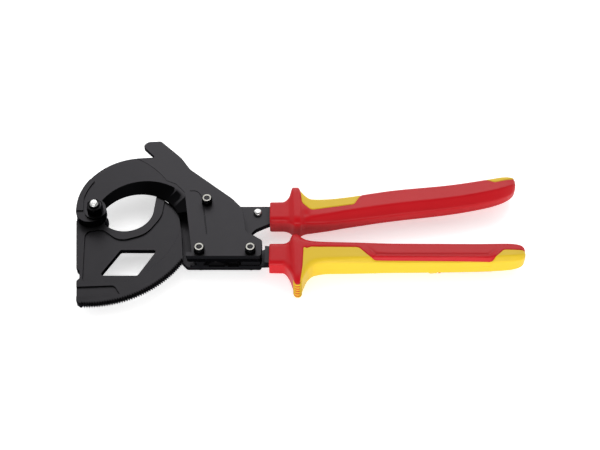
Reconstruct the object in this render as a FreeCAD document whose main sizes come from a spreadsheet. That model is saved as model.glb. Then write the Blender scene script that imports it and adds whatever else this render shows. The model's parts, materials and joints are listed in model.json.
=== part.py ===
"""Ratchet cable cutter with a hook-shaped fixed blade, a toothed moving blade and two insulated grips.

The parts are drawn about the blade's pivot: X runs from the head to the handles, Y across the jaws and
Z along the pivot, with zero in the middle of the moving blade's thickness.  One shared placement then
moves the finished tool so that its origin is the middle of its underside.
"""
import FreeCAD, Part
import math
import os

import Sketcher

App = FreeCAD
V = App.Vector
doc = App.newDocument("cable_cutter")

# ---------------------------------------------------------------- driving dimensions (millimetres, degrees)
DIMENSIONS = {
    # layers, measured from the middle of the moving blade
    "blade_thickness": 6.2, "layer_half": 3.25, "liner_thickness": 3.45, "cover_thickness": 3.5,
    "hook_thickness": 6.7, "back_thickness": 3.6, "lip_height": 0.9,
    # moving blade
    "tooth_tip_radius": 71.3, "tooth_depth": 1.3, "tooth_pitch": 1.372, "tooth_count": 46,
    "first_gap_angle": -30.4, "blade_bore": 5.05, "web_recess": 1.1, "blade_turn": 62,
    # pivot bolt, its washer and lock nut
    "pivot_radius": 3, "pivot_shoulder": 5, "pivot_head_height": 5.3, "pivot_flats": 13,
    "pivot_nut_flats": 10, "pivot_nut_height": 5.9, "pivot_collar": 1.9, "washer_radius": 7.4,
    "washer_thickness": 1.5, "back_washer_thickness": 1.8, "insert_width": 0.45,
    # housing screws and lock nuts
    "screw_radius": 2, "screw_flats": 7, "screw_head_radius": 4, "screw_head_height": 0.9,
    "screw_nut_height": 3.7, "screw_collar": 1.6, "screw_clearance": 2.1,
    "sleeve_radius": 4,
    # handle lever, fixed arm and pawls
    "lap_plane": -1.05, "lever_thickness": 4.1, "hub_radius": 7.6, "lobe_radius": 5.2,
    "tongue_thickness": 2, "pawl_thickness": 1.9, "pawl_width": 6, "pawl_pin_radius": 2,
    "arm_thickness": 6.3, "running_gap": 0.05, "stop_pin_radius": 2.95, "stop_pin_height": 2.4,
    # whole-tool placement
    "origin_x": -141.4, "origin_y": 3.386, "origin_z": 10.35,
}
sheet = doc.addObject("Spreadsheet::Sheet", "dims")
for row, (alias, value) in enumerate(DIMENSIONS.items(), start=1):
    sheet.set(f"A{row}", alias)
    sheet.set(f"B{row}", str(value))
    sheet.setAlias(f"B{row}", alias)
doc.recompute()


def dim(alias):
    """Value of one cell of the sheet."""
    return float(sheet.get(alias))


# ---------------------------------------------------------------- fixed places, about the blade's pivot
PIVOT = (0.0, 0.0)
UPPER_SCREW = (77.4, 8.1)
LEFT_SCREW = (74.1, -33.9)
HANDLE_SCREW = (108.7, -33.9)
PAWL_PIN = (84.6, -30.8)
STOP_PIN = (112.7, 3.7)
SPRING_PIN = (86.5, 12.5)
SCREWS = (UPPER_SCREW, LEFT_SCREW, HANDLE_SCREW)

FRONT_FACE = "dims.layer_half + dims.liner_thickness + dims.cover_thickness"
TOOL_PLACEMENT = App.Placement(V(dim("origin_x"), dim("origin_y"), dim("origin_z")), App.Rotation())
sub_parts = []


def polar(radius, degrees, centre=(0.0, 0.0)):
    """Point at a radius and an angle about a centre."""
    angle = math.radians(degrees)
    return centre[0] + radius * math.cos(angle), centre[1] + radius * math.sin(angle)


def turned(point, centre, degrees):
    """A point turned about a centre."""
    angle = math.radians(degrees)
    dx, dy = point[0] - centre[0], point[1] - centre[1]
    return (centre[0] + dx * math.cos(angle) - dy * math.sin(angle),
            centre[1] + dx * math.sin(angle) + dy * math.cos(angle))


# ---------------------------------------------------------------- sketches and features
def new_body(label, kept=True):
    body = doc.addObject("PartDesign::Body", label)
    body.Label = label
    body.Placement = TOOL_PLACEMENT
    if kept:
        sub_parts.append(body)
    return body


def sketch(body, name, height, role="XY_Plane"):
    """Empty sketch parallel to one of the body's origin planes, at a height given as an expression."""
    plane = next(f for f in body.Origin.OriginFeatures if f.Role == role)
    profile = body.newObject("Sketcher::SketchObject", name)
    profile.AttachmentSupport = [(plane, "")]
    profile.MapMode = "FlatFace"
    profile.setExpression(".AttachmentOffset.Base.z", height)
    return profile


def rounded(before, corner, after):
    """Start, middle and end of the arc that rounds a corner (x, y, radius), or the bare corner."""
    here = V(*corner[:2])
    if len(corner) < 3:
        return here, None, here
    back = (V(*before[:2]) - here).normalize()
    ahead = (V(*after[:2]) - here).normalize()
    half = back.getAngle(ahead) / 2
    reach = corner[2] / math.tan(half)
    middle = here + (back + ahead).normalize() * (corner[2] / math.sin(half) - corner[2])
    return here + back * reach, middle, here + ahead * reach


def outline(profile, corners, closed=True):
    """Lines through corners (x, y) or (x, y, radius), where a radius rounds that corner."""
    count = len(corners)
    arcs = [rounded(corners[i - 1], corners[i], corners[(i + 1) % count]) for i in range(count)]
    for index, (start, middle, end) in enumerate(arcs):
        if middle is not None:
            profile.addGeometry(Part.Arc(start, middle, end), False)
        if index == count - 1 and not closed:
            break
        arrive = arcs[(index + 1) % count][0]
        run = V(*corners[(index + 1) % count][:2]) - V(*corners[index][:2])
        if (arrive - end).dot(run) < -1e-6:
            raise ValueError(f"{profile.Name}: the radii at {corners[index]} and after it don't fit")
        if (arrive - end).Length > 1e-4:
            profile.addGeometry(Part.LineSegment(end, arrive), False)


def circle(profile, centre, radius):
    """Circle whose radius is bound to an expression."""
    index = profile.addGeometry(Part.Circle(V(centre[0], centre[1]), V(0, 0, 1), 5.0), False)
    constraint = profile.addConstraint(Sketcher.Constraint("Radius", index, 5.0))
    profile.addConstraint(Sketcher.Constraint("DistanceX", -1, 1, index, 3, centre[0]))
    profile.addConstraint(Sketcher.Constraint("DistanceY", -1, 1, index, 3, centre[1]))
    profile.setExpression(f"Constraints[{constraint}]", radius)


def hexagon(profile, centre, flats):
    """Regular hexagon given by the distance across its flats."""
    radius = flats / math.sqrt(3)
    outline(profile, [polar(radius, 60 * side + 30, centre) for side in range(6)])


def pad(body, profile, length):
    feature = body.newObject("PartDesign::Pad", profile.Name + "_pad")
    feature.Profile = profile
    feature.setExpression("Length", length)
    return feature


def pocket(body, profile, length, upwards=False):
    """Cut from the sketch downwards, or upwards, by a length given as an expression."""
    feature = body.newObject("PartDesign::Pocket", profile.Name + "_pocket")
    feature.Profile = profile
    feature.setExpression("Length", length)
    feature.Reversed = upwards
    return feature


def padded(body, name, height, corners, length):
    profile = sketch(body, name, height)
    outline(profile, corners)
    return pad(body, profile, length)


def rod(body, name, height, centres, radius, length):
    """Round pads, one for each centre, all of one radius."""
    profile = sketch(body, name, height)
    for centre in centres:
        circle(profile, centre, radius)
    return pad(body, profile, length)


def bored(body, name, centres, radius, height="30", length="60"):
    """Round holes straight through the body."""
    profile = sketch(body, name, height)
    for centre in centres:
        circle(profile, centre, radius)
    return pocket(body, profile, length)


# ---------------------------------------------------------------- plates of the head
HOOK_CENTRE, HOOK_RADIUS = (29.5, 5.0), 43.6
MOUTH_CENTRE, MOUTH_RADIUS = (29.8, -9.1), 29.4
MOUTH_FRONT_CENTRE, MOUTH_FRONT_RADIUS = (34.2, -7.8), 35.8
SEAM_TOP_ANGLE = 96.4
LINER_TOP = (63.5, 38.2)
SEAM = (polar(HOOK_RADIUS, SEAM_TOP_ANGLE, HOOK_CENTRE), (38.6, 38.2), (47.6, 27.6))
PLATE_INNER = [(54.5, 24.6, 6), (61.0, 17.0, 3)]
INNER_SLOPE, FOOT_LEVEL = -0.1484, 2.0
PLATE_RIGHT = [(95.0, 11.2, 14), (102.3, 2.4, 3), (105.2, -17.2, 3), (116.6, -25.0, 2.5), (116.0, -38.2, 2)]


def inner_edge(level, inset=0.0):
    """Point of the front plate's left edge at a height, moved under the plate by an inset."""
    corner = PLATE_INNER[-1]
    return corner[0] + INNER_SLOPE * (level - corner[1]) + inset, level


def fixed_blade():
    """Hook with its bevelled cutting edge, in one forging with the liner plate behind the front plate."""
    body = new_body("fixed_blade")
    hook = sketch(body, "hook_outline", "dims.layer_half")
    left = V(*polar(HOOK_RADIUS, 184.0, HOOK_CENTRE))
    crown = V(*polar(HOOK_RADIUS, 135.0, HOOK_CENTRE))
    top, seam_middle, seam_end = (V(*point) for point in SEAM)
    hook.addGeometry(Part.Arc(left, crown, top), False)
    hook.addGeometry(Part.Arc(top, seam_middle, seam_end), False)
    foot = inner_edge(FOOT_LEVEL)
    outline(hook, [SEAM[2]] + PLATE_INNER + [foot, (50.0, 4.0), HOOK_CENTRE, (left.x, left.y)], closed=False)
    pad(body, hook, "dims.hook_thickness")

    liner = sketch(body, "liner_outline", "dims.layer_half")
    outline(liner, [(10.0, 30.0), (20.0, 46.0), (30.0, 48.5, 20), (46.0, 46.5, 12), LINER_TOP + (6,)]
            + PLATE_RIGHT + [(65.2, -38.2, 1.5), (65.2, -34.9), inner_edge(-34.9, 0.3), inner_edge(8.0, 0.3),
                             (50.0, 4.0), (40.0, 5.0)])
    pad(body, liner, "dims.liner_thickness")

    cutting_edge = sketch(body, "cutting_edge", "dims.layer_half - 0.5")
    circle(cutting_edge, MOUTH_CENTRE, f"{MOUTH_RADIUS}")
    land_top = sketch(body, "land_top", "dims.layer_half + 1")
    circle(land_top, MOUTH_CENTRE, f"{MOUTH_RADIUS}")
    pocket(body, cutting_edge, "1.5", upwards=True)
    mouth_front = sketch(body, "mouth_front", "dims.layer_half + dims.hook_thickness + 0.5")
    circle(mouth_front, MOUTH_FRONT_CENTRE, f"{MOUTH_FRONT_RADIUS}")
    bevel = body.newObject("PartDesign::SubtractiveLoft", "mouth_bevel")
    bevel.Profile = land_top
    bevel.Sections = [mouth_front]

    rod(body, "pivot_boss", "dims.layer_half", [(-3.5, 1.5)], "10.5", "dims.hook_thickness")
    lip = sketch(body, "lip_outline", "dims.layer_half + dims.hook_thickness")
    lip_outer = [V(*polar(HOOK_RADIUS - 0.2, a, HOOK_CENTRE)) for a in (186.0, 165.0, 147.0)]
    lip.addGeometry(Part.Arc(*lip_outer), False)
    lip_inner = [V(*polar(HOOK_RADIUS - 4.2, a, HOOK_CENTRE)) for a in (147.0, 160.0, 172.0)]
    lip.addGeometry(Part.LineSegment(lip_outer[2], lip_inner[0]), False)
    lip.addGeometry(Part.Arc(*lip_inner), False)
    lip_foot = V(-8.6, lip_outer[0].y)
    lip.addGeometry(Part.LineSegment(lip_inner[2], lip_foot), False)
    lip.addGeometry(Part.LineSegment(lip_foot, lip_outer[0]), False)
    pad(body, lip, "dims.lip_height")
    bored(body, "fixed_blade_screw_holes", SCREWS, "dims.screw_clearance")
    bored(body, "fixed_blade_pivot_hole", [PIVOT], "dims.pivot_radius + dims.running_gap")
    return body


def front_plate():
    """Cover plate with the horn that shields the blade's corner when the blade is closed."""
    body = new_body("front_plate")
    plate = sketch(body, "front_plate_outline", "dims.layer_half + dims.liner_thickness")
    top, middle, end = (V(*point) for point in SEAM)
    plate.addGeometry(Part.Arc(top, middle, end), False)
    corners = [SEAM[2]] + PLATE_INNER + [inner_edge(-34.9), (64.8, -34.9), (64.8, -38.2, 1)]
    corners += PLATE_RIGHT[::-1]
    corners += [LINER_TOP + (10,), (57.0, 48.5, 40), (41.0, 64.6, 3), (30.5, 64.0, 5), (28.4, 59.5, 2.5),
                (37.8, 49.3, 0.8), SEAM[0]]
    outline(plate, corners, closed=False)
    pad(body, plate, "dims.cover_thickness")
    bored(body, "front_plate_screw_holes", SCREWS, "dims.screw_clearance")
    groove = sketch(body, "panel_groove", FRONT_FACE)
    outline(groove, [(64.6, 18.4), (70.0, 18.4, 5), (74.2, 12.0, 5), (78.6, -20.0, 0.2),
                     (78.0, -20.0, 0.2), (73.6, 11.8, 4.4), (69.6, 17.8, 4.4), (64.6, 17.8)])
    pocket(body, groove, "0.35")
    return body


def back_plate():
    """Plain plate that carries the screw heads and keeps the moving blade in its slot."""
    body = new_body("back_plate")
    corners = [(46.5, 27.0, 5), (30.0, 43.0, 3), (38.0, 49.0, 4), (50.0, 45.5, 12), LINER_TOP + (8,)]
    corners += PLATE_RIGHT + [(65.0, -38.2, 3), (57.5, -30.0, 5), (50.0, 8.0, 8)]
    padded(body, "back_plate_outline", "-dims.layer_half - dims.back_thickness", corners,
           "dims.back_thickness")
    bored(body, "back_plate_screw_holes", SCREWS, "dims.screw_clearance")
    return body


# ---------------------------------------------------------------- moving blade
BITE_CENTRE, BITE_RADIUS = (20.0, 7.3), 19.3
RIM_RADIUS = 60.0
WINDOW = [(19.0, -27.4, 1.5), (44.0, -27.4, 1.5), (32.3, -48.6, 1.5), (6.6, -48.6, 1.5)]


def moving_blade():
    """Toothed sector with a crescent cutting edge, a recessed web and a lightening window."""
    body = new_body("moving_blade")
    tip_radius = dim("tooth_tip_radius")
    sector = sketch(body, "sector_outline", "-dims.blade_thickness / 2")
    first, last = polar(tip_radius, -29.4), polar(tip_radius, -93.6)
    sector.addGeometry(Part.Arc(V(*first), V(*polar(tip_radius, -61.0)), V(*last)), False)
    outline(sector, [last, (-6.6, -69.5), (-8.3, -53.6), (-6.5, -51.4, 0.8), (-7.2, -45.4, 0.8),
                     (-9.5, -43.4), (-14.2, -3.0), (-5.0, 2.0), (10.0, 5.0), (38.5, 17.0),
                     (42.0, 20.0, 0.6), (49.0, 13.6, 20), (57.0, 4.0, 12), (60.2, -14.0, 40), first],
            closed=False)
    pad(body, sector, "dims.blade_thickness")
    bite = sketch(body, "bite", "-dims.blade_thickness / 2")
    left, foot, right = (polar(BITE_RADIUS, angle, BITE_CENTRE) for angle in (180.0, 270.0, 0.0))
    bite.addGeometry(Part.Arc(V(*left), V(*foot), V(*right)), False)
    outline(bite, [right, (40.2, 18.5), (40.2, 30.0), (left[0], 30.0), left], closed=False)
    pocket(body, bite, "dims.blade_thickness + 1", upwards=True)
    window = sketch(body, "window", "-dims.blade_thickness / 2")
    outline(window, WINDOW)
    pocket(body, window, "dims.blade_thickness + 1", upwards=True)

    for side, name in ((1, "front"), (-1, "back")):
        web = sketch(body, f"{name}_web", f"{side} * dims.blade_thickness / 2")
        rim = [polar(RIM_RADIUS, angle) for angle in (-67.5, -40.0, -8.6)]
        web.addGeometry(Part.Arc(*(V(*point) for point in rim)), False)
        outline(web, [rim[-1], (66.0, -8.0), (62.0, 14.0), (50.0, 22.0), (46.6, 18.0), (45.2, 1.0, 20),
                      (35.5, -14.5, 18), (17.5, -20.5, 12), (5.5, -10.9, 6), (-7.2, -10.9, 6),
                      (-4.2, -54.0, 2.5), (20.0, -54.2, 1.5), rim[0]], closed=False)
        pocket(body, web, "dims.web_recess", upwards=side < 0)
    panel = sketch(body, "panel", "dims.blade_thickness / 2")
    outline(panel, [(-12.0, -58.8), (17.6, -57.4, 4), (21.8, -64.2), (-12.0, -66.6)])
    pocket(body, panel, "dims.web_recess")

    rod(body, "blade_boss", "-dims.blade_thickness / 2", [(-3.6, -1.5)], "10.4", "dims.blade_thickness")
    bored(body, "blade_bore", [PIVOT], "dims.blade_bore")
    gap = sketch(body, "tooth_gap", "-dims.blade_thickness / 2 - 0.5")
    angle, half_pitch = dim("first_gap_angle"), dim("tooth_pitch") / 2
    outline(gap, [polar(tip_radius + 0.4, angle - 1.05 * half_pitch),
                  polar(tip_radius + 0.4, angle + 1.05 * half_pitch),
                  polar(tip_radius - dim("tooth_depth"), angle + 0.05 * half_pitch),
                  polar(tip_radius - dim("tooth_depth"), angle - 0.05 * half_pitch)])
    first_gap = pocket(body, gap, "dims.blade_thickness + 1", upwards=True)
    teeth = body.newObject("PartDesign::PolarPattern", "teeth")
    teeth.Originals = [first_gap]
    teeth.Axis = (gap, ["N_Axis"])
    teeth.Reversed = True
    teeth.setExpression("Occurrences", "dims.tooth_count")
    teeth.setExpression("Angle", "dims.tooth_pitch * (dims.tooth_count - 1)")
    body.Tip = teeth
    return body


# ---------------------------------------------------------------- fasteners
def pivot_bolt():
    """Shoulder bolt: hexagon head behind the blade, shoulder in the blade, thread through the hook."""
    body = new_body("pivot_bolt")
    seat = "-dims.layer_half - dims.back_washer_thickness"
    head = sketch(body, "pivot_head", f"{seat} - dims.pivot_head_height")
    hexagon(head, PIVOT, dim("pivot_flats"))
    pad(body, head, "dims.pivot_head_height")
    rod(body, "pivot_shoulder", seat, [PIVOT], "dims.pivot_shoulder",
        "2 * dims.layer_half + dims.back_washer_thickness")
    rod(body, "pivot_thread", "dims.layer_half", [PIVOT], "dims.pivot_radius",
        "dims.hook_thickness + dims.washer_thickness + dims.pivot_nut_height + dims.pivot_collar + 1.3")
    return body


def pivot_washer(label, seat, thickness, bore):
    body = new_body(label)
    rod(body, label + "_disc", seat, [PIVOT], "dims.washer_radius", thickness)
    bored(body, label + "_hole", [PIVOT], f"{bore} + dims.running_gap")


def lock_nut(label, seat, centres, flats, height, collar, collar_radius, bore):
    """Lock nuts with a round collar that holds an insert ring; the ring itself is a separate piece."""
    body = new_body(label)
    hexes = sketch(body, label + "_flats", seat)
    for centre in centres:
        hexagon(hexes, centre, flats)
    pad(body, hexes, height)
    rod(body, label + "_collar", f"{seat} + {height}", centres, collar_radius, collar)
    bored(body, label + "_hole", centres, bore)
    seat_top = sketch(body, label + "_insert_seat", f"{seat} + {height}")
    for centre in centres:
        circle(seat_top, centre, f"{bore} + dims.insert_width")
    pocket(body, seat_top, f"{collar} - 0.4", upwards=True)
    inserts = new_body(label.replace("nuts", "nut") + ("_inserts" if len(centres) > 1 else "_insert"))
    rod(inserts, label + "_insert", f"{seat} + {height}", centres, f"{bore} + dims.insert_width",
        f"{collar} - 0.4")
    bored(inserts, label + "_insert_hole", centres, bore)


def housing_screws():
    """Screws with low round heads on the back plate."""
    body = new_body("housing_screws")
    rod(body, "screw_heads", "-dims.layer_half - dims.back_thickness - dims.screw_head_height", SCREWS,
        "dims.screw_head_radius", "dims.screw_head_height")
    rod(body, "screw_shanks", "-dims.layer_half - dims.back_thickness", SCREWS, "dims.screw_radius",
        f"dims.back_thickness + dims.layer_half + {FRONT_FACE} + dims.screw_nut_height + dims.screw_collar"
        " - 0.4")
    return body


def sleeve(label, centre, radius):
    """Hardened tube between the plates, around a housing screw."""
    body = new_body(label)
    rod(body, label + "_tube", "-dims.layer_half", [centre], radius, "2 * dims.layer_half")
    bored(body, label + "_hole", [centre], "dims.screw_clearance")
    return body


# ---------------------------------------------------------------- handle lever, fixed arm and pawls
LEVER_BAR = [(120.5, 9.6), (134.0, 9.0, 30), (150.0, 8.6, 40), (172.0, 11.2, 60), (207.0, 17.6, 60),
             (246.0, 22.4, 3), (247.0, 14.6, 3), (207.0, 8.4, 60), (172.0, 1.6, 60), (150.0, -3.2, 40),
             (134.0, -4.6, 30), (121.1, -5.5)]
LEVER_WEB = [(107.0, -12.8, 10), (109.0, -27.0), HANDLE_SCREW, PAWL_PIN, (88.5, -24.0), (90.0, -8.0, 20),
             (96.0, 9.5, 4)]
ARM_BAR = [(118.2, -24.6), (134.0, -26.0, 40), (246.0, -28.4, 3), (246.0, -36.4, 3), (134.0, -38.4, 40),
           (118.2, -38.6)]


def moving_handle_arm():
    """Flat lever: hub on the handle screw, tongue for the drive pawl and a bar into the upper grip."""
    body = new_body("moving_handle_arm")
    padded(body, "lever_outline", "dims.lap_plane + 0.1", LEVER_BAR + LEVER_WEB, "dims.lever_thickness")
    rod(body, "lever_hub", "dims.lap_plane + 0.1", [HANDLE_SCREW], "dims.hub_radius", "dims.lever_thickness")
    rod(body, "lever_lobe", "dims.lap_plane + 0.1", [PAWL_PIN], "dims.lobe_radius", "dims.lever_thickness")
    hub_flat = sketch(body, "hub_flat", "dims.lap_plane")
    outline(hub_flat, [(98.0, -38.0), (98.0, -46.0), (120.0, -46.0), (120.0, -38.0)])
    pocket(body, hub_flat, "dims.lever_thickness + 1", upwards=True)
    tongue = sketch(body, "tongue_step",
                    "dims.lap_plane + 0.1 + dims.lever_thickness - dims.tongue_thickness")
    outline(tongue, [(76.0, -42.0), (92.5, -42.0), (92.5, -27.0, 3), (94.5, -6.0), (76.0, -6.0)])
    pocket(body, tongue, "dims.lever_thickness")
    bored(body, "lever_bush_hole", [HANDLE_SCREW], "dims.sleeve_radius + dims.running_gap")
    bored(body, "lever_pin_hole", [PAWL_PIN], "dims.pawl_pin_radius")
    bored(body, "lever_stop_hole", [STOP_PIN], "dims.stop_pin_radius - 1")
    return body


def fixed_handle_arm():
    """Bar of the lower grip, lapped behind the lever and held by both lower housing screws."""
    body = new_body("fixed_handle_arm")
    lap = "dims.layer_half + dims.lap_plane"
    padded(body, "arm_root", "-dims.layer_half",
           [(118.4, -38.6), (118.4, -24.6), (112.0, -27.0, 2), (95.0, -27.0, 3), (86.0, -31.8, 3),
            (70.5, -31.8, 1), (67.0, -35.0, 1), (67.0, -38.1, 2)], lap)
    rod(body, "arm_spacer", "-dims.layer_half", [LEFT_SCREW], "4.6", "2 * dims.layer_half")
    padded(body, "arm_bar", "-dims.arm_thickness / 2", ARM_BAR, "dims.arm_thickness")
    windows = sketch(body, "arm_windows", "-dims.layer_half")
    outline(windows, [(79.6, -39.0), (91.0, -39.0), (91.0, -36.6, 1.5), (79.6, -36.6, 1.5)])
    outline(windows, [(93.0, -39.0), (100.5, -39.0), (100.5, -35.4, 2), (93.0, -35.4, 2)])
    pocket(body, windows, "3 * dims.layer_half", upwards=True)
    bored(body, "arm_screw_holes", (LEFT_SCREW, HANDLE_SCREW), "dims.screw_clearance")
    return body


NOSE_DRIVE, NOSE_HOLD = -13.68, 11.02
DRIVE_LIFT, HOLD_LIFT = -8.5, -9.0


def drive_pawl():
    """Pawl on the lever: a thin tail on the pin and a nose as thick as the blade."""
    body = new_body("drive_pawl")
    tip, half = dim("tooth_tip_radius"), dim("tooth_pitch") / 2
    nose = [polar(tip + 0.9, NOSE_DRIVE - 0.62 * half), polar(tip - 0.75, NOSE_DRIVE - 0.12 * half),
            polar(tip - 0.75, NOSE_DRIVE + 0.12 * half), polar(tip + 0.9, NOSE_DRIVE + 0.62 * half)]
    head = nose + [polar(tip + 2.2, NOSE_DRIVE + 1.6), polar(tip + 6.5, NOSE_DRIVE + 0.8), (82.0, -18.8),
                   (78.2, -22.9), (76.0, -21.7), polar(tip + 1.6, NOSE_DRIVE - 2.6)]
    tail = [(82.0, -18.8), (78.2, -22.9), (79.8, -25.2), (80.2, -29.4), (84.6, -30.8), (89.1, -29.6),
            (87.6, -22.4)]
    padded(body, "drive_pawl_head", "-dims.blade_thickness / 2 + 0.1",
           [turned(point, PAWL_PIN, DRIVE_LIFT) for point in head], "dims.blade_thickness - 0.2")
    padded(body, "drive_pawl_tail", "dims.lap_plane + 0.1",
           [turned(point, PAWL_PIN, DRIVE_LIFT) for point in tail], "dims.pawl_thickness")
    rod(body, "drive_pawl_hub", "dims.lap_plane + 0.1", [PAWL_PIN], "4.6", "dims.pawl_thickness")
    bored(body, "drive_pawl_bore", [PAWL_PIN], "dims.pawl_pin_radius + dims.running_gap")
    return body


def holding_pawl():
    """Pawl on the upper screw's sleeve that stops the blade from opening between strokes."""
    body = new_body("holding_pawl")
    tip, half = dim("tooth_tip_radius"), dim("tooth_pitch") / 2
    nose = [polar(tip + 0.9, NOSE_HOLD - 0.62 * half), polar(tip - 0.75, NOSE_HOLD - 0.12 * half),
            polar(tip - 0.75, NOSE_HOLD + 0.12 * half), polar(tip + 0.9, NOSE_HOLD + 0.62 * half)]
    arm = nose + [polar(tip + 2.6, NOSE_HOLD + 2.2), (79.5, 13.6), UPPER_SCREW, (73.6, 5.4),
                  polar(tip + 1.4, NOSE_HOLD - 2.6)]
    height = "-dims.blade_thickness / 2 + 0.1"
    padded(body, "holding_pawl_arm", height, [turned(point, UPPER_SCREW, HOLD_LIFT) for point in arm],
           "dims.blade_thickness - 0.2")
    rod(body, "holding_pawl_hub", height, [UPPER_SCREW], "5.9", "dims.blade_thickness - 0.2")
    bored(body, "holding_pawl_bore", [UPPER_SCREW], "dims.sleeve_radius + dims.running_gap")
    return body


def pin(label, centre, radius, low, length):
    body = new_body(label)
    rod(body, label + "_rod", low, [centre], radius, length)
    return body


def stop_pin():
    """Domed pin on the lever that meets the plates' edge when the handles are fully open."""
    body = new_body("stop_pin")
    face = "dims.lap_plane + 0.1 + dims.lever_thickness"
    rod(body, "stop_pin_shank", "dims.lap_plane + 0.1", [STOP_PIN], "dims.stop_pin_radius - 1",
        "dims.lever_thickness")
    head = rod(body, "stop_pin_head", face, [STOP_PIN], "dims.stop_pin_radius", "dims.stop_pin_height")
    doc.recompute()
    top = head.Shape.BoundBox.ZMax
    rim = [f"Edge{i}" for i, edge in enumerate(head.Shape.Edges, start=1)
           if abs(edge.BoundBox.ZMin - top) < 1e-6 and abs(edge.BoundBox.ZMax - top) < 1e-6]
    dome = body.newObject("PartDesign::Fillet", "stop_pin_dome")
    dome.Base = (head, rim)
    dome.Radius = 1.6
    body.Tip = dome
    return body


def leaf_spring(label, points):
    """Flat spring: a bent strip of even thickness through the given points, 3 mm wide."""
    thickness = 0.6
    body = new_body(label)
    away, back = [], []
    for index, point in enumerate(points):
        before = V(*points[max(index - 1, 0)])
        after = V(*points[min(index + 1, len(points) - 1)])
        along = (after - before).normalize()
        side = V(-along.y, along.x) * (thickness / 2)
        away.append((point[0] + side.x, point[1] + side.y))
        back.append((point[0] - side.x, point[1] - side.y))
    padded(body, label + "_strip", "-1.5", away + back[::-1], "3")
    return body


# ---------------------------------------------------------------- grips
def grip_form(label, stations):
    """Loft of rounded rectangles: (x, centre y, half height, half thickness, corner radius)."""
    body = new_body(label, kept=False)
    profiles = []
    for number, (along, middle, tall, deep, radius) in enumerate(stations):
        section = sketch(body, f"{label}_section_{number}", f"{along}", role="YZ_Plane")
        outline(section, [(middle - tall, -deep, radius), (middle + tall, -deep, radius),
                          (middle + tall, deep, radius), (middle - tall, deep, radius)])
        profiles.append(section)
    loft = body.newObject("PartDesign::AdditiveLoft", label + "_loft")
    loft.Profile = profiles[0]
    loft.Sections = profiles[1:]
    loft.Ruled = True
    return body


UPPER_STATIONS = [
    (121.4, 2.7, 8.2, 7.6, 1.8), (130.4, 2.8, 8.6, 8.0, 2.2), (135.0, 5.6, 13.4, 9.0, 4.0),
    (137.2, 7.8, 17.2, 10.35, 4.6), (140.6, 7.6, 17.0, 10.35, 4.6), (143.6, 5.2, 13.8, 9.8, 5.0),
    (149.5, 3.2, 10.8, 9.3, 5.0), (160.0, 3.9, 10.0, 9.0, 5.0), (175.0, 6.3, 9.8, 9.0, 5.0),
    (207.0, 12.0, 10.0, 9.0, 5.2), (250.0, 17.9, 9.4, 9.0, 5.2), (278.0, 23.9, 8.8, 8.8, 5.2),
    (291.0, 28.0, 7.0, 8.2, 5.0), (296.0, 29.4, 4.6, 6.4, 4.0),
]
LOWER_STATIONS = [
    (121.4, -33.2, 8.6, 6.4, 1.8), (131.0, -33.2, 8.9, 6.7, 2.2), (136.2, -36.6, 15.6, 9.0, 4.0),
    (138.4, -39.0, 21.2, 10.35, 4.6), (142.2, -39.0, 21.2, 10.35, 4.6), (145.4, -36.4, 15.8, 9.8, 5.0),
    (151.0, -33.2, 10.2, 9.3, 5.0), (162.0, -32.6, 8.8, 9.0, 5.0), (210.0, -32.9, 8.4, 9.0, 5.0),
    (262.0, -32.6, 7.9, 8.8, 5.0), (288.0, -31.6, 7.4, 8.4, 5.0), (294.5, -31.0, 6.4, 7.6, 5.0),
    (297.0, -30.9, 4.4, 5.6, 4.0),
]
SHELL_REGION = [(143.4, -60.0), (143.4, -24.6), (183.0, -24.2), (190.0, -34.0, 4), (197.0, -36.0, 4),
                (270.0, -36.0, 4), (277.0, -26.6, 4), (300.0, -26.6), (300.0, -60.0)]
INLAY_REGION = [(138.6, 40.0), (141.0, 12.0, 3), (148.5, 4.6, 4), (180.5, 9.0, 4), (190.0, 40.0)]
END_REGION = [(276.0, 45.0), (280.5, 29.0, 2), (287.0, 28.0, 3), (297.0, 36.5), (298.0, 45.0)]


def region(label, corners):
    """Block that marks out where a second colour is moulded over the grip."""
    body = new_body(label, kept=False)
    padded(body, label + "_outline", "-15", corners, "30")
    return body


def combined(kind, label, base, tool, kept=True):
    """Boolean of two earlier objects; they are placed already, so the result needs no move."""
    result = doc.addObject(kind, label)
    result.Label = label
    result.Base, result.Tool = base, tool
    if kept:
        sub_parts.append(result)
    return result


def grips(upper_bar, lower_bar):
    upper, lower = grip_form("upper_form", UPPER_STATIONS), grip_form("lower_form", LOWER_STATIONS)
    hollow_upper = combined("Part::Cut", "upper_hollow", upper, upper_bar, kept=False)
    hollow_lower = combined("Part::Cut", "lower_hollow", lower, lower_bar, kept=False)
    inlay, end = region("inlay_region", INLAY_REGION), region("end_region", END_REGION)
    shell = region("shell_region", SHELL_REGION)
    combined("Part::Common", "upper_grip_inlay", hollow_upper, inlay)
    combined("Part::Common", "upper_grip_end_inlay", hollow_upper, end)
    partly = combined("Part::Cut", "upper_without_inlay", hollow_upper, inlay, kept=False)
    combined("Part::Cut", "upper_grip", partly, end)
    combined("Part::Common", "lower_grip_shell", hollow_lower, shell)
    combined("Part::Cut", "lower_grip", hollow_lower, shell)


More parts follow.
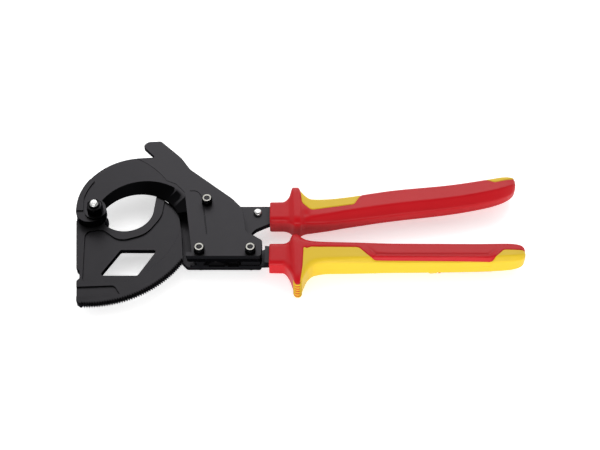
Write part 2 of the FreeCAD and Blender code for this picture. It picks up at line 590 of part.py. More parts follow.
# ---------------------------------------------------------------- the whole tool
def build_all():
    fixed_blade()
    front_plate()
    back_plate()
    moving_blade()
    pivot_bolt()
    hook_face = "dims.layer_half + dims.hook_thickness"
    pivot_washer("pivot_washer", hook_face, "dims.washer_thickness", "dims.pivot_radius")
    pivot_washer("pivot_back_washer", "-dims.layer_half - dims.back_washer_thickness",
                 "dims.back_washer_thickness", "dims.pivot_shoulder")
    lock_nut("pivot_nut", f"{hook_face} + dims.washer_thickness", [PIVOT],
             dim("pivot_nut_flats"), "dims.pivot_nut_height", "dims.pivot_collar", "3.75",
             "dims.pivot_radius + dims.running_gap")
    housing_screws()
    lock_nut("housing_nuts", FRONT_FACE, SCREWS, dim("screw_flats"), "dims.screw_nut_height",
             "dims.screw_collar", "3.3", "dims.screw_radius + dims.running_gap")
    sleeve("pawl_sleeve", UPPER_SCREW, "dims.sleeve_radius")
    lever_bush = new_body("lever_bush")
    rod(lever_bush, "lever_bush_tube", "dims.lap_plane", [HANDLE_SCREW], "dims.sleeve_radius",
        "dims.layer_half - dims.lap_plane")
    bored(lever_bush, "lever_bush_bore", [HANDLE_SCREW], "dims.screw_clearance")
    lever = moving_handle_arm()
    arm = fixed_handle_arm()
    drive_pawl()
    pin("drive_pawl_pin", PAWL_PIN, "dims.pawl_pin_radius", "dims.lap_plane + 0.1", "dims.lever_thickness")
    holding_pawl()
    stop_pin()
    pin("spring_pin", SPRING_PIN, "1.5", "-dims.layer_half", "2 * dims.layer_half")
    leaf_spring("holding_pawl_spring", [(88.9, 13.3), (87.4, 14.5), (83.0, 17.1), (74.5, 20.6)])
    leaf_spring("drive_pawl_spring", [(89.2, -4.0), (88.6, -9.0), (86.8, -13.6), (82.8, -16.2)])
    grips(lever, arm)


build_all()
doc.recompute()
failed = [o.Label for o in doc.Objects if "Invalid" in o.State or "Error" in o.State]
if failed:
    raise RuntimeError("failed objects: " + ", ".join(failed))
os.makedirs("parts", exist_ok=True)
for part in sub_parts:
    shape = part.Shape
    if shape.isNull() or not shape.isValid() or not shape.Solids:
        raise RuntimeError("bad shape: " + part.Label)
    shape.exportStep(f"parts/{part.Label}.step")
    print(f"{part.Label:24s} solids {len(shape.Solids)}  volume {shape.Volume:9.1f}")
bounds = App.BoundBox()
for part in sub_parts:
    bounds.add(part.Shape.BoundBox)
print("box", bounds)
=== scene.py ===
"""Looks of a ratchet cable cutter with two insulated grips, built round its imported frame."""
import collections
import json
import math

import bmesh
import bpy
from mathutils import Matrix, Vector

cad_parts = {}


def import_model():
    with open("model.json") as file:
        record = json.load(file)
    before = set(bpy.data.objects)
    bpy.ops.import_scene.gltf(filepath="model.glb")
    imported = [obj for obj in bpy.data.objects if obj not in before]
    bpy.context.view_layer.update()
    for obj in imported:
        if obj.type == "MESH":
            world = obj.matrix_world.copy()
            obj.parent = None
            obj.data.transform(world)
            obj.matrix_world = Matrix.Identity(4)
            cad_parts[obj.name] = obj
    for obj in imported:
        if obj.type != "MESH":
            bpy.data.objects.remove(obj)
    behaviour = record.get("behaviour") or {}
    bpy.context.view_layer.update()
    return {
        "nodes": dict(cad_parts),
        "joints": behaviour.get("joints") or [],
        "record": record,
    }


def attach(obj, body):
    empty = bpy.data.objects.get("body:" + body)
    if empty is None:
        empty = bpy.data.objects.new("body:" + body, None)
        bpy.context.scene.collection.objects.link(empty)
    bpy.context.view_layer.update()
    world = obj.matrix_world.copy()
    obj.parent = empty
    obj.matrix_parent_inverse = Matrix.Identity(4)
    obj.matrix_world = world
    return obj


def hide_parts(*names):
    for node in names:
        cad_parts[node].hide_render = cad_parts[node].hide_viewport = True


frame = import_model()

MM = 0.001
NODES = frame["nodes"]
JOINTS = {joint["name"]: Vector(joint["pos_m"]) for joint in frame["joints"]}
PIVOT = JOINTS["blade_swing"]
RECORD_SLOTS = {part["node"]: part["material_slot"] for part in frame["record"]["subparts"]}


def at(x, y, z):
    """Point given in millimetres about the blade's pivot, in the frame's metres."""
    return PIVOT + Vector((x, y, z)) * MM


# ---------------------------------------------------------------- shader maths
class Wire:
    """An output socket that can be used in Python sums; each sum adds its Math node."""

    def __init__(self, paint, socket):
        self.paint, self.socket = paint, socket

    def _sum(self, operation, first, second):
        return self.paint.node("ShaderNodeMath", {"operation": operation}, {0: first, 1: second})

    def __add__(self, other):
        return self._sum("ADD", self, other)

    def __radd__(self, other):
        return self._sum("ADD", other, self)

    def __sub__(self, other):
        return self._sum("SUBTRACT", self, other)

    def __mul__(self, other):
        return self._sum("MULTIPLY", self, other)

    def clamped(self):
        return self.paint.node("ShaderNodeClamp", {}, {"Value": self})


class Paint:
    """A material with one Principled shader, and short ways to add what varies over its surface."""

    def __init__(self, name, **sockets):
        self.material = bpy.data.materials.new(name)
        self.material.use_nodes = True
        self.tree = self.material.node_tree
        self.shader = self.tree.nodes["Principled BSDF"]
        for socket, value in sockets.items():
            self.set(socket.replace("_", " "), value)

    def set(self, socket, value):
        """Gives a socket of the shader a number, a colour or a wire."""
        entry = self.shader.inputs[socket]
        if isinstance(value, Wire):
            self.tree.links.new(value.socket, entry)
        elif isinstance(value, tuple):
            entry.default_value = (*value, 1.0)
        else:
            entry.default_value = value

    def node(self, kind, settings, inputs, output=0):
        """Adds one node: its settings first, then the values or wires of its sockets."""
        added = self.tree.nodes.new(kind)
        for name, value in settings.items():
            setattr(added, name, value)
        for socket, value in inputs.items():
            if isinstance(value, Wire):
                self.tree.links.new(value.socket, added.inputs[socket])
            else:
                added.inputs[socket].default_value = value
        return Wire(self, added.outputs[output])

    def places(self, scale=(1, 1, 1)):
        """Object coordinates, stretched."""
        here = self.node("ShaderNodeTexCoord", {}, {}, output="Object")
        return self.node("ShaderNodeMapping", {}, {"Vector": here, "Scale": scale})

    def noise(self, scale, detail=3.0, rough=0.5, stretch=(1, 1, 1)):
        """Cloudy noise between 0 and 1; the scale is in cells to the metre."""
        return self.node("ShaderNodeTexNoise", {}, {"Vector": self.places(stretch), "Scale": scale,
                                                   "Detail": detail, "Roughness": rough})

    def between(self, mask, low, high):
        """Colour that runs from low to high as the mask runs from 0 to 1."""
        ends = [(*colour, 1.0) if isinstance(colour, tuple) else colour for colour in (low, high)]
        return self.node("ShaderNodeMix", {"data_type": "RGBA"},
                         {"Factor": mask, 6: ends[0], 7: ends[1]}, output=2)

    def bump(self, height, strength, depth):
        """Relief from a height between 0 and 1, with its depth in millimetres."""
        relief = self.node("ShaderNodeBump", {},
                           {"Height": height, "Strength": strength, "Distance": depth * MM})
        self.set("Normal", relief)


# ---------------------------------------------------------------- finishes
def blackened_steel(name, shade, scale, roughness):
    """Phosphated steel: flat faces are a mottled satin grey, while cut walls and bevels get a near-black
    colour as painted shade.
    """
    paint = Paint(name, Metallic=1.0, Specular_Tint=(0.35, 0.35, 0.37))
    clouds, grain = paint.noise(70.0, 4.0), paint.noise(2600.0, 2.0)
    facing = paint.node("ShaderNodeNewGeometry", {}, {}, output="Normal")
    upright = paint.node("ShaderNodeSeparateXYZ", {}, {0: facing}, output="Z")
    # Mask by how upright the normal is: 1 on faces pointing up or down, 0 on walls and bevels, which take
    # painted shade.
    flats_vs_painted_wall_shade = paint.node("ShaderNodeMapRange", {"interpolation_type": "SMOOTHSTEP"},
                        {"Value": paint.node("ShaderNodeMath", {"operation": "ABSOLUTE"}, {0: upright}),
                         "From Min": 0.84, "From Max": 0.98, "To Min": 0.0, "To Max": 1.0})
    low = tuple(shade * tint for tint in (0.84, 0.82, 0.88))
    high = tuple(shade * tint for tint in (1.14, 1.10, 1.18))
    mask = (clouds * 1.6 - 0.3).clamped()
    mottled_flat_tone = paint.between(mask * 0.7 + grain * 0.3, low, high)
    # Walls and bevels get the near-black scale colour as painted shade; flat faces get the mottled satin
    # grey.
    paint.set("Base Color", paint.between(flats_vs_painted_wall_shade, (scale, scale, scale * 1.1), mottled_flat_tone))
    paint.set("Roughness", roughness + clouds * 0.10 + grain * 0.06)
    paint.bump(grain, 0.25, 0.02)
    return paint.material


def bright_steel():
    paint = Paint("bright_zinc", Metallic=1.0)
    streaks = paint.noise(900.0, 3.0, stretch=(1, 1, 6))
    paint.set("Base Color", paint.between(streaks, (0.36, 0.36, 0.37), (0.52, 0.52, 0.50)))
    paint.set("Roughness", 0.24 + streaks * 0.14)
    paint.bump(streaks, 0.12, 0.02)
    return paint.material


def moulded_plastic(name, deep, light, roughness):
    """Dipped insulation: even colour, soft gloss and a faint orange-peel surface."""
    paint = Paint(name, Specular_IOR_Level=0.17)
    clouds, peel = paint.noise(45.0, 3.0), paint.noise(700.0, 2.0)
    paint.set("Base Color", paint.between(clouds, deep, light))
    paint.set("Roughness", roughness + peel * 0.08)
    paint.bump(peel, 0.18, 0.05)
    return paint.material


def bronze():
    paint = Paint("bush_bronze", Metallic=1.0)
    haze = paint.noise(300.0)
    paint.set("Base Color", paint.between(haze, (0.45, 0.28, 0.10), (0.62, 0.42, 0.18)))
    paint.set("Roughness", 0.3 + haze * 0.15)
    return paint.material


def ground_steel(name, shade):
    paint = Paint(name, Metallic=0.9)
    lines = paint.noise(500.0, 2.0, stretch=(1, 12, 1))
    paint.set("Base Color", paint.between(lines, (shade * 0.8,) * 3, (shade * 1.2,) * 3))
    paint.set("Roughness", 0.3 + lines * 0.2)
    paint.bump(lines, 0.15, 0.02)
    return paint.material


FINISHES = {
    "blade_steel": blackened_steel("blackened_blade_steel", 0.028, 0.003, 0.36),
    "plate_steel": blackened_steel("blackened_plate_steel", 0.034, 0.011, 0.40),
    "black_fastener": blackened_steel("black_oxide", 0.024, 0.004, 0.22),
    "bright_steel": bright_steel(),
    "insert_ring": moulded_plastic("nylon_ring", (0.50, 0.49, 0.45), (0.58, 0.57, 0.53), 0.45),
    "dark_insert": moulded_plastic("dark_nylon_ring", (0.012, 0.012, 0.012), (0.020, 0.020, 0.020), 0.45),
    "bush_bronze": bronze(),
    "pawl_steel": ground_steel("ground_pawl_steel", 0.28),
    "spring_steel": ground_steel("blued_spring_steel", 0.16),
    "red_grip": moulded_plastic("red_insulation", (0.41, 0.004, 0.008), (0.46, 0.006, 0.011), 0.36),
    "yellow_grip": moulded_plastic("yellow_insulation", (0.60, 0.405, 0.018), (0.64, 0.435, 0.022), 0.36),
}


def finish_of(node):
    return FINISHES[RECORD_SLOTS[node]]


for node_name, node_object in NODES.items():
    node_object.data.materials.clear()
    node_object.data.materials.append(finish_of(node_name))


# ---------------------------------------------------------------- softened copies of the steel plates
def piece(name, bm, node, body):
    """Turns a bmesh into a piece that stands for a CAD node and rides on its body."""
    mesh = bpy.data.meshes.new(name)
    bm.to_mesh(mesh)
    bm.free()
    made = bpy.data.objects.new(name, mesh)
    bpy.context.scene.collection.objects.link(made)
    mesh.materials.append(finish_of(node))
    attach(made, body)
    return made


def body_of(node):
    return next(body for body, members in frame["record"]["behaviour"]["bodies"].items() if node in members)


SHARP_EDGE, BEVEL_STEPS, FLAT_ENOUGH = math.radians(32.0), 3, math.radians(0.4)


def softened(node, width, within=math.inf):
    """Copy of a CAD node with its sharp edges rounded by a small bevel, up to a radius about the pivot."""
    bm = bmesh.new()
    bm.from_mesh(NODES[node].data)
    bmesh.ops.remove_doubles(bm, verts=bm.verts, dist=0.002 * MM)
    bmesh.ops.dissolve_limit(bm, angle_limit=FLAT_ENOUGH, verts=bm.verts, edges=bm.edges)
    corners = [e for e in bm.edges if e.is_manifold and e.calc_face_angle() > SHARP_EDGE
               and max((v.co - PIVOT).xy.length for v in e.verts) < within * MM]
    bmesh.ops.bevel(bm, geom=corners, offset=width * MM, offset_type="OFFSET", affect="EDGES",
                    segments=BEVEL_STEPS, profile=0.5, material=-1, clamp_overlap=True)
    for face in bm.faces:
        face.smooth = True
    made = piece(node + "_softened", bm, node, body_of(node))
    modifier = made.modifiers.new("even_normals", "WEIGHTED_NORMAL")
    modifier.keep_sharp = True
    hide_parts(node)


TOOTH_ROOTS = 69.0        # the teeth outside this radius stay sharp
softened("fixed_blade", 0.45)
softened("front_plate", 0.40)
softened("back_plate", 0.35)
softened("moving_handle_arm", 0.30)
softened("fixed_handle_arm", 0.30)
softened("moving_blade", 0.22, within=TOOTH_ROOTS)


# ---------------------------------------------------------------- rings bridged into tubes
def bridged(bm, rings):
    """Joins rings of points, given as lists of equal length, into a closed tube with flat ends."""
    loops = []
    for points in rings:
        ring = bmesh.ops.create_circle(bm, segments=len(points), radius=1.0)["verts"]
        for vert, point in zip(ring, points):
            vert.co = point
        loops.append(list({edge for vert in ring for edge in vert.link_edges}))
    for before, after in zip(loops, loops[1:]):
        bmesh.ops.bridge_loops(bm, edges=before + after)
    for rim in (loops[0], loops[-1]):
        bmesh.ops.contextual_create(bm, geom=rim)
    bmesh.ops.recalc_face_normals(bm, faces=bm.faces)


# ---------------------------------------------------------------- nuts, rings and bolt ends
TURN_STEPS = 72


def turned(bm, centre, profile, flats=None):
    """Solid turned from (radius, height) steps; with flats, no step is wider than that hexagon."""
    rings = []
    for radius, height in profile:
        ring = []
        for step in range(TURN_STEPS):
            angle = 2 * math.pi * step / TURN_STEPS
            reach = radius
            if flats:
                off_flat = (angle + math.pi / 6) % (math.pi / 3) - math.pi / 6
                reach = min(radius, flats / 2 / math.cos(off_flat))
            ring.append(at(centre[0] + reach * math.cos(angle), centre[1] + reach * math.sin(angle), height))
        rings.append(ring)
    bridged(bm, rings)


def place_of(joint):
    """Joint's place in millimetres about the blade's pivot."""
    return tuple((JOINTS[joint] - PIVOT).xy / MM)


def metal_piece(node, centres, profile, flats=None):
    bm = bmesh.new()
    for centre in centres:
        turned(bm, centre, profile, flats)
    made = piece(node + "_turned", bm, node, body_of(node))
    for face in made.data.polygons:
        face.use_smooth = True
    made.modifiers.new("crisp_edges", "EDGE_SPLIT").split_angle = math.radians(28)
    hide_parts(node)


def lock_nut(node, centres, seat, size):
    """Hexagon with a coned top and a collar above it."""
    corner, collar = size["flats"] / math.sqrt(3), size["collar"]
    top, rim = seat + size["height"], seat + size["height"] + size["rise"]
    cone = [(corner + 0.1 - k * size["cone"], top - 0.7 + k * 0.14) for k in range(6)]
    metal_piece(node, centres, [(corner - 0.35, seat), (corner + 0.1, seat + 0.3)] + cone +
                [(collar + 0.25, top + 0.05), (collar, top + 0.3), (collar, rim - 0.25),
                 (collar - 0.08, rim - 0.08), (collar - 0.25, rim), (collar - 0.35, rim - 0.5)],
                size["flats"])


def rolled_ring(node, centres, low, outer, inner):
    """Ring with a round upper side, held in the nut's collar."""
    middle, reach = (outer + inner) / 2, (outer - inner) / 2
    crown = [(middle + reach * math.cos(math.radians(a)), low + 0.5 + 0.45 * math.sin(math.radians(a)))
             for a in range(0, 181, 30)]
    metal_piece(node, centres, [(outer, low)] + crown + [(inner, low)])


COVER_FACE, HOOK_FACE, WASHER = 10.2, 9.95, 1.5
PIVOT_CENTRE = [(0.0, 0.0)]
SCREW_CENTRES = [place_of("holding_pawl_swing"), (74.1, -33.9), place_of("handle_swing")]
lock_nut("pivot_nut", PIVOT_CENTRE, HOOK_FACE + WASHER,
         {"flats": 10.0, "height": 5.9, "rise": 1.9, "collar": 3.75, "cone": 0.30})
rolled_ring("pivot_nut_insert", PIVOT_CENTRE, 18.2, 3.45, 3.05)
lock_nut("housing_nuts", SCREW_CENTRES, COVER_FACE,
         {"flats": 7.0, "height": 3.7, "rise": 1.4, "collar": 3.3, "cone": 0.16})
rolled_ring("housing_nut_inserts", SCREW_CENTRES, 14.7, 2.95, 2.1)
metal_piece("pivot_bolt", PIVOT_CENTRE,
            [(6.9, -10.35), (7.3, -10.0), (7.51, -9.4), (7.51, -5.05), (5.0, -5.04), (5.0, 3.25), (3.0, 3.26),
             (3.0, 19.0), (2.5, 19.6), (2.4, 20.2), (2.2, 20.5), (1.9, 20.55)], flats=13.0)
metal_piece("housing_screws", SCREW_CENTRES,
            [(3.4, -7.75), (3.9, -7.5), (4.0, -7.2), (4.0, -6.85), (2.0, -6.84), (2.0, 14.0), (1.6, 14.3),
             (1.6, 14.5), (0.9, 14.9)])


# ---------------------------------------------------------------- the grips' form
RING_POINTS, RING_GAP = 96, 1.2
GUARD_LEAN = 0.045        # how far a guard's top leans back for each millimetre of height
SHARPNESS = 36.0          # higher makes the sections' corners tighter
GRIP_WALL = 1.4


def unit_reach(angle, form, ridge):
    """Edge of a section one unit high and deep: a rounded box at form 0, a grip with a ridge at form 1."""
    front = math.radians(11.7) * form
    face = 1 - form * (1 - math.cos(front) + math.sin(front) * ridge)
    high, low = 1.25 - 0.13 * form, 1.25 + form * ((1 + ridge) / math.sqrt(2) - 1.25)
    sides = [(front, face), (math.pi - front, face), (math.pi / 2, 1), (-math.pi / 2, 1),
             (math.pi / 4, high), (3 * math.pi / 4, high), (-math.pi / 4, low), (-3 * math.pi / 4, low)]
    total = sum(max(0.0, math.cos(angle - side) / away) ** SHARPNESS for side, away in sides)
    return total ** (-1 / SHARPNESS)


def smoothed(stations):
    """Stations joined by a curve that doesn't overshoot, with a ring about every RING_GAP."""
    runs = [math.dist(a[:3], b[:3]) for a, b in zip(stations, stations[1:])]
    slopes = []
    for values in zip(*stations):
        rises = [(b - a) / run for a, b, run in zip(values, values[1:], runs)]
        inner = [2 * p * q / (p + q) if p * q > 0 else 0.0 for p, q in zip(rises, rises[1:])]
        slopes.append([rises[0]] + inner + [rises[-1]])
    for i, run in enumerate(runs):
        count = max(2, round(run / RING_GAP))
        for k in range(count):
            t = k / count
            yield [(1 + 2 * t) * (1 - t) ** 2 * stations[i][c] + t * t * (3 - 2 * t) * stations[i + 1][c]
                   + run * (t * (1 - t) ** 2 * slope[i] + t * t * (t - 1) * slope[i + 1])
                   for c, slope in enumerate(slopes)]
    yield list(stations[-1])


def grip_tube(stations, ridge):
    """Tube through the stations; the guard's tall rings lean a little."""
    bm = bmesh.new()
    rings = []
    for along, middle, tall, deep, form in smoothed(stations):
        lean = -GUARD_LEAN * min(1.0, max(0.0, (tall - 10.0) / 6.0))
        ring = []
        for k in range(RING_POINTS):
            angle = 2 * math.pi * k / RING_POINTS
            reach = unit_reach(angle, form, ridge)
            rise = tall * reach * math.sin(angle)
            ring.append(at(along + lean * rise, middle + rise, deep * reach * math.cos(angle)))
        rings.append(ring)
    bridged(bm, rings)
    return bm


# ---------------------------------------------------------------- outlines between the two colours
class Outline:
    """Closed outline seen from the front, with rounded corners, in millimetres about the pivot."""

    def __init__(self, corners):
        self.points = []
        for i, (x, y, radius) in enumerate(corners):
            here = Vector((x, y))
            back = Vector(corners[i - 1][:2]) - here
            ahead = Vector(corners[(i + 1) % len(corners)][:2]) - here
            half = back.angle(ahead) / 2
            reach = radius / math.tan(half)
            start, end = here + back.normalized() * reach, here + ahead.normalized() * reach
            for k in range(7):
                t = k / 6
                self.points.append(start * (1 - t) ** 2 + here * 2 * t * (1 - t) + end * t * t)

        self.sides = [(*a, *(b - a)) for a, b in zip(self.points, self.points[1:] + self.points[:1])
                      if (b - a).length > 0.02]

    def depth(self, x, y):
        """Distance to the outline: positive inside it, negative outside."""
        inside, best = False, math.inf
        for ax, ay, dx, dy in self.sides:
            away_x, away_y = x - ax, y - ay
            t = min(1.0, max(0.0, (away_x * dx + away_y * dy) / (dx * dx + dy * dy)))
            best = min(best, (away_x - dx * t) ** 2 + (away_y - dy * t) ** 2)
            if (ay > y) != (ay + dy > y) and away_x < away_y * dx / dy:
                inside = not inside
        return math.sqrt(best) if inside else -math.sqrt(best)

    def score(self, bm, shifts):
        """Cuts edges into the mesh all along the outline, once for each sideways shift."""
        columns = collections.defaultdict(list)

        def shelve(faces):
            for face in faces:
                columns[int(flat(face.calc_center_median()).x)].append(face)

        shelve(bm.faces)
        for shift in shifts:
            for ax, ay, dx, dy in self.sides:
                along = Vector((dx, dy)).normalized()
                side = Vector((-along.y, along.x))
                middle = Vector((ax + dx / 2, ay + dy / 2)) + side * shift
                reach = math.hypot(dx, dy) / 2 + 1.0
                beside = abs(along.x) * reach + abs(side.x) * 2.0 + 1.0
                near = [f for column in range(int(middle.x - beside), int(middle.x + beside) + 2)
                        for f in columns[column] if f.is_valid
                        and abs((spot := flat(f.calc_center_median()) - middle).dot(along)) < reach
                        and abs(spot.dot(side)) < 2.0]
                if near:
                    geometry = (near + list({e for f in near for e in f.edges})
                                + list({v for f in near for v in f.verts}))
                    cut = bmesh.ops.bisect_plane(bm, geom=geometry, dist=1e-6, plane_co=at(*middle, 0.0),
                                                 plane_no=(side.x, side.y, 0.0))
                    shelve({f for f in cut["geom"] if isinstance(f, bmesh.types.BMFace)} - set(near))


def flat(point):
    """Place in millimetres about the pivot, seen from the front."""
    return (point - PIVOT).xy / MM


def bell(distance, middle, width):
    return math.exp(-((distance - middle) / width) ** 2)


def colour_part(form, name, node, covers, relief):
    """Part of a grip's form that one colour covers, raised or sunk by a relief, with a wall inside it."""
    bm = form.copy()
    bare = [f for f in bm.faces if not covers(*(f.calc_center_median() - PIVOT) / MM)]
    bmesh.ops.delete(bm, geom=bare, context="FACES")
    bm.normal_update()
    moves = [(vert, vert.normal * relief(*(vert.co - PIVOT) / MM) * MM) for vert in bm.verts]
    for vert, move in moves:
        vert.co += move
    for face in bm.faces:
        face.smooth = True
    made = piece(name, bm, node, body_of(node))
    wall = made.modifiers.new("wall", "SOLIDIFY")
    wall.thickness, wall.offset = GRIP_WALL * MM, -1.0
    made.modifiers.new("crisp_rims", "EDGE_SPLIT").split_angle = math.radians(50)
    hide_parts(node)


UPPER_FORM = [
    (121.4, 2.7, 8.2, 7.6, 0), (122.1, 2.7, 8.5, 7.9, 0), (130.4, 2.8, 8.6, 8.0, 0),
    (134.4, 4.1, 10.8, 8.4, 0),
    (136.4, 6.0, 14.2, 9.4, 0), (137.4, 6.8, 16.0, 10.0, 0), (138.2, 7.0, 16.4, 10.35, 0),
    (141.8, 7.0, 16.4, 10.35, 0), (142.6, 6.7, 15.7, 10.1, 0), (143.6, 5.9, 14.4, 9.8, 0),
    (146.4, 4.3, 12.1, 9.4, 0.1), (150.5, 3.1, 10.6, 9.3, 0.25), (160.0, 3.7, 10.2, 9.2, 0.5),
    (175.0, 6.0, 10.1, 9.2, 0.8), (207.0, 11.7, 10.5, 9.2, 1), (250.0, 17.5, 10.0, 9.2, 1),
    (276.0, 22.9, 9.6, 9.0, 1), (286.0, 25.8, 8.9, 8.7, 1), (291.5, 27.7, 7.7, 8.0, 1),
    (294.6, 29.0, 6.2, 6.9, 0.9),
    (296.2, 29.9, 4.5, 5.3, 0.7), (296.9, 30.5, 2.1, 2.8, 0.5),
]
LOWER_FORM = [
    (121.4, -33.2, 8.6, 6.4, 0), (122.1, -33.2, 8.9, 6.7, 0), (130.8, -33.2, 9.0, 6.8, 0),
    (134.8, -34.8, 12.0, 7.6, 0), (136.8, -37.2, 16.8, 9.2, 0), (138.0, -38.6, 20.2, 10.0, 0),
    (139.2, -39.0, 21.0, 10.35, 0), (140.8, -39.0, 21.0, 10.35, 0), (142.2, -38.5, 19.9, 10.1, 0),
    (144.0, -37.1, 16.8, 9.8, 0), (147.2, -34.9, 12.6, 9.4, 0), (152.4, -33.3, 9.9, 9.3, 0.05),
    (162.0, -32.8, 8.9, 9.2, 0.12), (182.0, -32.85, 8.75, 9.2, 0.45), (208.0, -32.9, 8.6, 9.2, 1),
    (262.0, -32.6, 8.1, 9.0, 1),
    (284.0, -31.8, 7.7, 8.7, 1), (290.5, -31.4, 7.1, 8.2, 1), (294.6, -31.1, 5.8, 7.0, 0.9),
    (296.4, -31.0, 4.0, 5.2, 0.7), (297.0, -31.0, 1.8, 2.8, 0.5),
]
UPPER_RIDGE, LOWER_RIDGE = 0.40, 0.62
INLAY = Outline([(141.8, 45.0, 1), (142.4, 24.0, 6), (143.8, 8.6, 5), (150.3, 2.2, 4), (180.5, 7.9, 3),
                 (189.0, 24.0, 2), (189.0, 45.0, 1)])
END_INLAY = Outline([(272.0, 45.0, 1), (275.0, 32.4, 1), (281.3, 28.6, 3), (297.0, 33.2, 1),
                     (299.0, 45.0, 1)])
SHELL, BACK_SHELL = (
    Outline([(144.9, -29.8, 1), (147.2, -30.8, 1), (150.0, -29.6, 2), (182.5, -29.4, 5), (192.0, edge, 6),
             (273.0, edge, 5), (281.6, -30.6, 3), (300.0, -30.4, 2), (300.0, -75.0, 2), (142.6, -75.0, 2),
             (142.6, -60.0, 3), (144.2, -45.0, 5)]) for edge in (-40.2, -38.2))
EDGE_LOOPS, BEAD_LOOPS = (0.0, 0.4, -0.4, 0.9, -0.9), (1.5, 2.1, 2.7, 3.5, 4.4, 5.4)
RIB_LEVELS, RIB_RADIUS, RIB_SIDES = (-7.0, -4.2, -1.4, 1.4, 4.2, 7.0), 0.62, 16
RIB_START, RIB_END = 137.0, 143.2


def upper_relief(proud):
    """Rounded edges beside each inlay, and a thumb dish beside the guard."""
    def relief(x, y, z):
        away = min(abs(INLAY.depth(x, y)), abs(END_INLAY.depth(x, y)))
        dish = bell(math.hypot(x - 146.6, (y + 2.5) * 0.7), 0.0, 2.6) if z > 0 else 0.0
        return proud - 0.34 * bell(away, 0.0, 0.45) - 0.9 * dish
    return relief


def shell_depth(x, y, z):
    """Distance into the yellow shell, whose edge runs a little higher on the back."""
    return (SHELL if z > 0 else BACK_SHELL).depth(x, y)


def lower_red_relief(x, y, z):
    """A bead just above the yellow shell, with a shallow valley over it."""
    away = -shell_depth(x, y, z)
    run = min(1.0, max(0.0, (x - 186.0) / 8.0)) * min(1.0, max(0.0, (279.0 - x) / 8.0))
    bead, valley = 0.55 * bell(away, 2.1, 0.8), 0.60 * bell(away, 4.6, 1.3)
    return 0.08 - 0.36 * bell(away, 0.0, 0.45) + run * (bead - valley)


def lower_yellow_relief(x, y, z):
    return -0.30 * bell(shell_depth(x, y, z), 0.0, 0.4)


upper_form, lower_form = grip_tube(UPPER_FORM, UPPER_RIDGE), grip_tube(LOWER_FORM, LOWER_RIDGE)
INLAY.score(upper_form, EDGE_LOOPS)
END_INLAY.score(upper_form, EDGE_LOOPS)
SHELL.score(lower_form, EDGE_LOOPS + BEAD_LOOPS)
BACK_SHELL.score(lower_form, EDGE_LOOPS + BEAD_LOOPS)
colour_part(upper_form, "upper_grip_red", "upper_grip",
            lambda x, y, z: INLAY.depth(x, y) < 0 and END_INLAY.depth(x, y) < 0, upper_relief(0.08))
colour_part(upper_form, "upper_inlay_yellow", "upper_grip_inlay",
            lambda x, y, z: INLAY.depth(x, y) > 0, upper_relief(0.0))
colour_part(upper_form, "upper_end_yellow", "upper_grip_end_inlay",
            lambda x, y, z: END_INLAY.depth(x, y) > 0, upper_relief(0.0))
colour_part(lower_form, "lower_grip_red", "lower_grip",
            lambda *spot: shell_depth(*spot) < 0, lower_red_relief)
colour_part(lower_form, "lower_shell_yellow", "lower_grip_shell", lambda *spot: shell_depth(*spot) > 0,
            lower_yellow_relief)


def guard_ribs():
    """Rounded yellow ribs over the far end of the lower guard, side by side through its thickness."""
    edge = [(along + GUARD_LEAN * tall, middle - tall)
            for along, middle, tall, deep, form in smoothed(LOWER_FORM) if RIB_START < along < RIB_END]
    bm = bmesh.new()
    for level in RIB_LEVELS:
        rings = []
        for i, (x, y) in enumerate(edge):
            ahead, back = Vector(edge[min(i + 1, len(edge) - 1)]), Vector(edge[max(i - 1, 0)])
            away = Vector((ahead - back).yx).normalized()
            away.y = -away.y
            slim = RIB_RADIUS * (0.35 if i in (0, len(edge) - 1) else 1.0)
            rings.append([at(x + away.x * slim * math.cos(a), y + away.y * slim * math.cos(a),
                             level + slim * math.sin(a))
                          for a in (2 * math.pi * k / RIB_SIDES for k in range(RIB_SIDES))])
        bridged(bm, rings)
    for face in bm.faces:
        face.smooth = True
    return piece("lower_guard_ribs", bm, "lower_grip_shell", "frame")


guard_ribs()


# ---------------------------------------------------------------- floor, lights and camera
TILT = math.radians(37.0)
WALL_LIGHT, CONE_LIGHT = 1.0, 0.05


def floor():
    """Pale table that glows a little, so that what shows through the openings stays light."""
    bpy.ops.mesh.primitive_plane_add(size=6.0, location=(0.0, 0.0, 0.0))
    plane = bpy.context.object
    plane.name = "floor"
    paint = Paint("light_table", Base_Color=(0.86, 0.86, 0.86), Roughness=0.7, Emission_Color=(1.0, 1.0, 1.0),
                  Emission_Strength=0.55)
    plane.data.materials.append(paint.material)


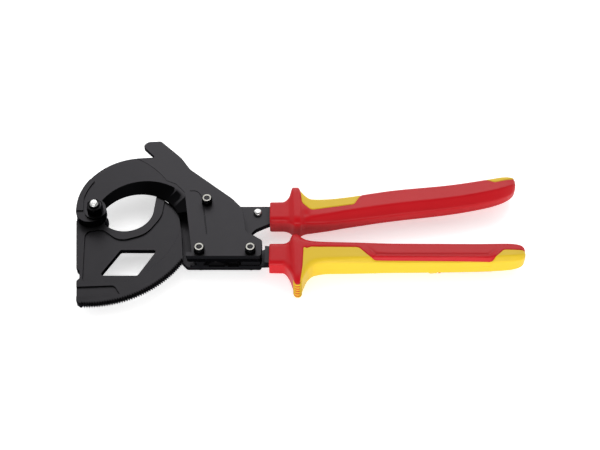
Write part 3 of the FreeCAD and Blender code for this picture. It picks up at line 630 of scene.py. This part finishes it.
def softbox(name, place, aim, size, power):
    light = bpy.data.lights.new(name, "AREA")
    light.shape = "RECTANGLE"
    light.size, light.size_y = size
    light.energy = power
    lamp = bpy.data.objects.new(name, light)
    lamp.location = place
    lamp.rotation_euler = (Vector(aim) - Vector(place)).to_track_quat("-Z", "Y").to_euler()
    bpy.context.scene.collection.objects.link(lamp)


def camera():
    """Long lens from the front, tilted 37 degrees off the plates' normal."""
    distance, aim = 0.8, at(142.4, -4.3, 0.0)
    data = bpy.data.cameras.new("camera")
    data.lens = 68.4
    seat = bpy.data.objects.new("camera", data)
    seat.location = aim + distance * Vector((0.0, -math.sin(TILT), math.cos(TILT)))
    seat.rotation_euler = (TILT, 0.0, 0.0)
    bpy.context.scene.collection.objects.link(seat)
    bpy.context.scene.camera = seat


def world():
    """Even studio walls, darker in a soft cone round the camera."""
    sky = bpy.data.worlds.new("studio")
    sky.use_nodes = True
    tree = sky.node_tree
    towards = tree.nodes.new("ShaderNodeVectorMath")
    towards.operation = "DOT_PRODUCT"
    towards.inputs[1].default_value = (0.0, -math.sin(TILT), math.cos(TILT))
    tree.links.new(tree.nodes.new("ShaderNodeTexCoord").outputs["Generated"], towards.inputs[0])
    cone = tree.nodes.new("ShaderNodeMapRange")
    cone.inputs["From Min"].default_value, cone.inputs["From Max"].default_value = 0.55, 0.85
    cone.inputs["To Min"].default_value, cone.inputs["To Max"].default_value = WALL_LIGHT, CONE_LIGHT
    tree.links.new(towards.outputs["Value"], cone.inputs["Value"])
    tree.links.new(cone.outputs["Result"], tree.nodes["Background"].inputs["Strength"])
    tree.nodes["Background"].inputs["Color"].default_value = (1.0, 1.0, 1.0, 1.0)
    bpy.context.scene.world = sky


floor()
softbox("key_softbox", (0.1, 1.25, 1.05), (0.0, 0.0, 0.0), (1.6, 0.9), 14.0)
softbox("front_softbox", (-0.2, -1.8, 0.50), (0.0, 0.0, 0.0), (2.4, 0.8), 38.0)
camera()
world()
bpy.context.scene.view_settings.view_transform = "Standard"
